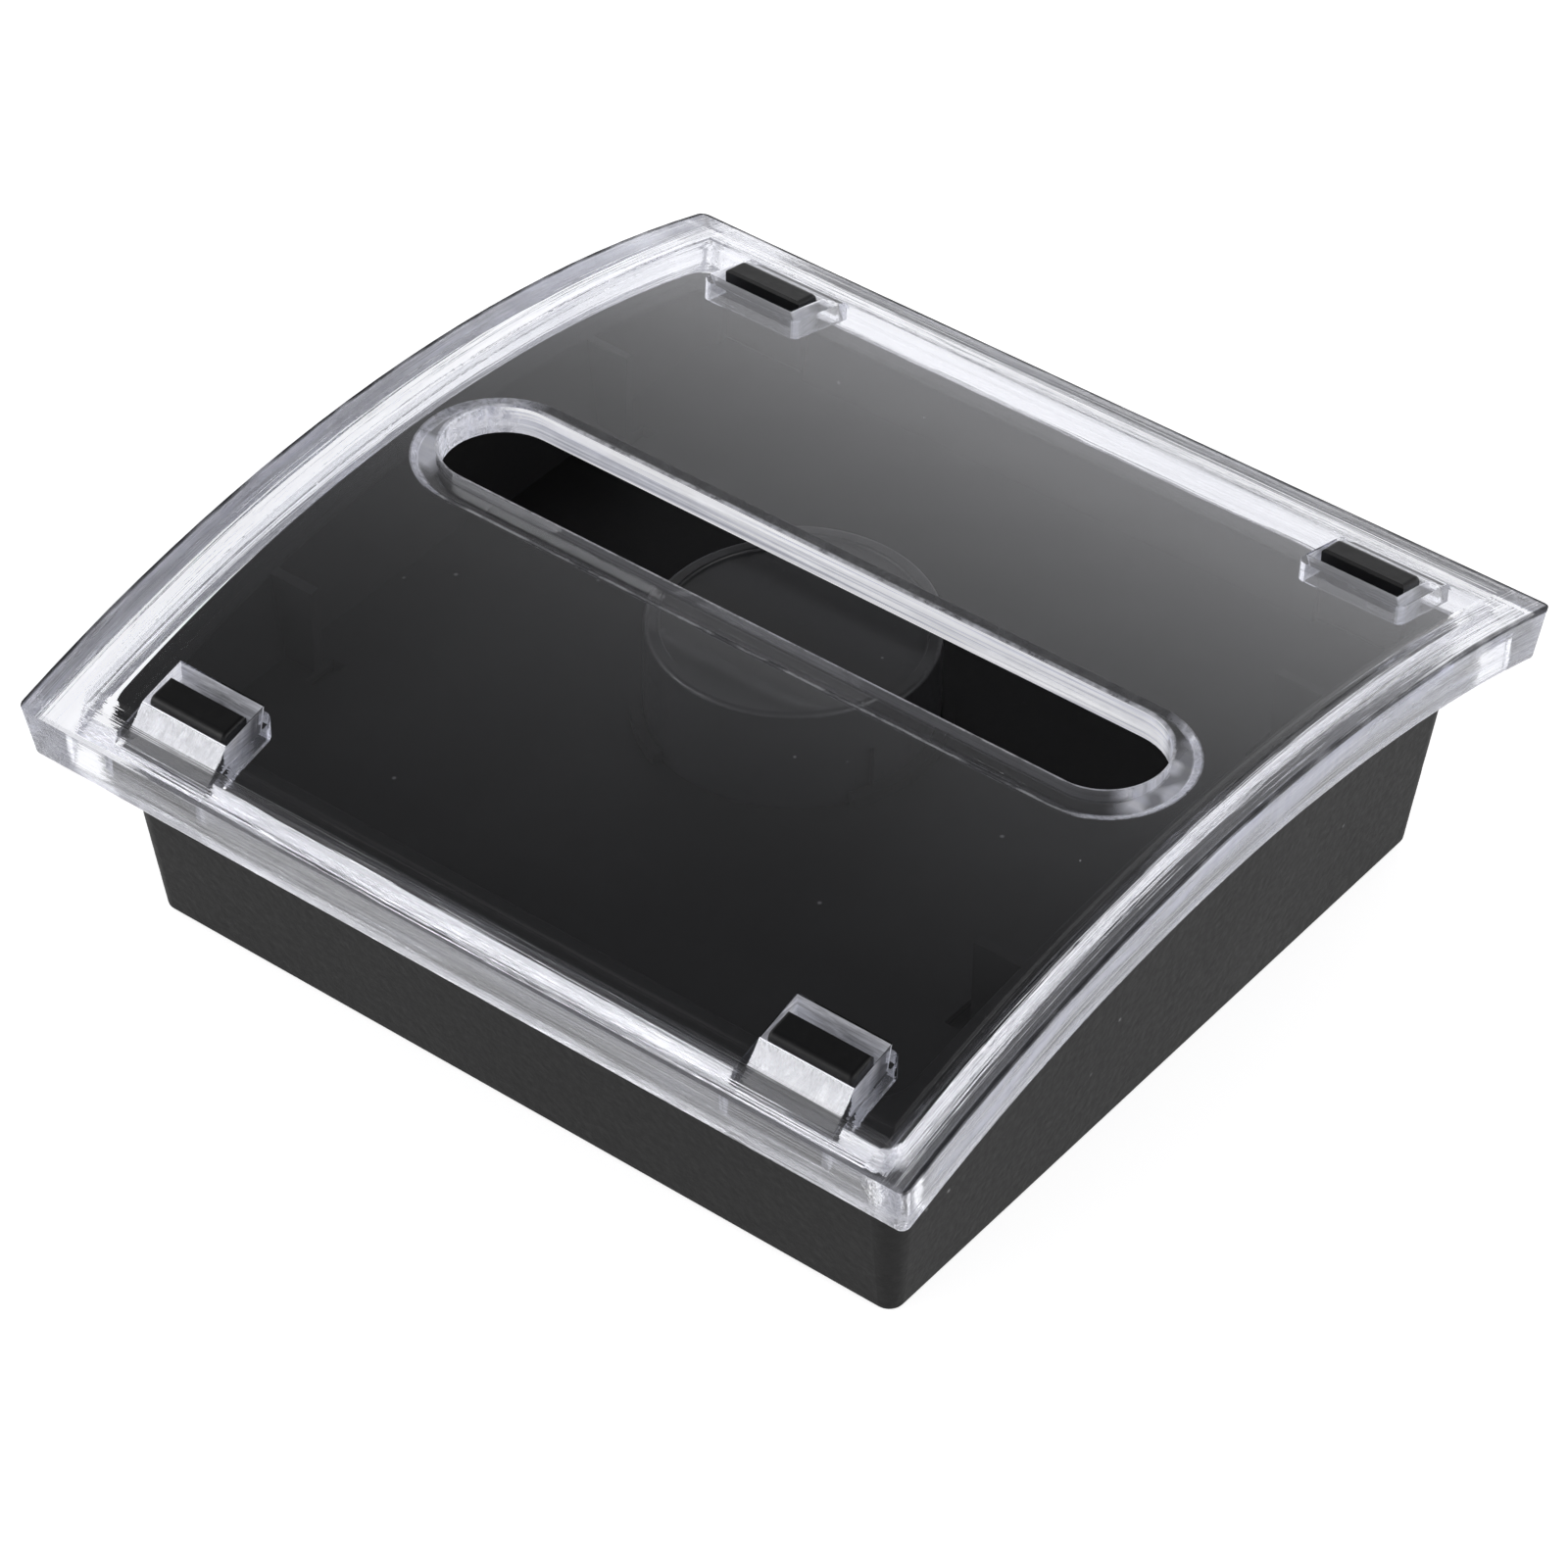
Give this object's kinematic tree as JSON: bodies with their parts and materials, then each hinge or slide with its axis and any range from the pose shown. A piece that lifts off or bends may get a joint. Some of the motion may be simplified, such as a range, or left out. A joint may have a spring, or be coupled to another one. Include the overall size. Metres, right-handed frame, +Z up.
{
  "type": "pop-up note dispenser",
  "caption": "Low square desk tray with an arched clear lift-off cover, a long round-ended note slot and a sprung round pusher inside.",
  "frame": {"origin": "centre of the face that rests on the desk", "axes": "+X along the note slot, +Y from the front of the dispenser to its rear, +Z up"},
  "size_m": [0.105, 0.1036, 0.0356],
  "materials": {
    "black_shell": "fine textured matt black ABS",
    "clear_plastic": "clear polished moulded polystyrene",
    "black_latch": "satin black ABS",
    "black_pusher": "smooth satin black ABS",
    "spring_steel": "bright spring wire",
    "black_plate": "matt black ABS",
    "screw_steel": "zinc plated",
    "foam_rubber": "closed cell foam rubber",
    "ballast_steel": "plain mill scale"
  },
  "bodies": {
    "base": {"base_shell": "black_shell", "bottom_plate": "black_plate", "bottom_screws": "screw_steel", "non_slip_pad": "foam_rubber", "ballast_left": "ballast_steel", "ballast_right": "ballast_steel"},
    "cover": {"clear_cover": "clear_plastic"},
    "latch_fl": {"latch_front_left": "black_latch"},
    "latch_fr": {"latch_front_right": "black_latch"},
    "latch_rl": {"latch_rear_left": "black_latch"},
    "latch_rr": {"latch_rear_right": "black_latch"},
    "pusher": {"pusher_cup": "black_pusher", "pusher_spring": "spring_steel"}
  },
  "joints": [
    {"name": "cover_lift", "type": "slide", "parent": "base", "child": "cover", "axis": [0, 0, 1], "range_m": [0, 0.045]},
    {"name": "latch_front_left_flex", "type": "hinge", "parent": "base", "child": "latch_fl", "pos_m": [-0.0368, -0.04295, 0.0207], "axis": [-1, 0, 0], "range_deg": [0, 6], "stiffness_Nm_per_rad": 0.6},
    {"name": "latch_front_right_flex", "type": "hinge", "parent": "base", "child": "latch_fr", "pos_m": [0.0368, -0.04295, 0.0207], "axis": [-1, 0, 0], "range_deg": [0, 6], "stiffness_Nm_per_rad": 0.6},
    {"name": "latch_rear_left_flex", "type": "hinge", "parent": "base", "child": "latch_rl", "pos_m": [-0.0368, 0.04295, 0.0207], "axis": [1, 0, 0], "range_deg": [0, 6], "stiffness_Nm_per_rad": 0.6},
    {"name": "latch_rear_right_flex", "type": "hinge", "parent": "base", "child": "latch_rr", "pos_m": [0.0368, 0.04295, 0.0207], "axis": [1, 0, 0], "range_deg": [0, 6], "stiffness_Nm_per_rad": 0.6},
    {"name": "pusher_slide", "type": "slide", "parent": "base", "child": "pusher", "axis": [0, 0, 1], "range_m": [-0.0095, 0], "stiffness_N_per_m": 250, "springref_m": 0.005, "deforming": ["pusher_spring"]}
  ]
}
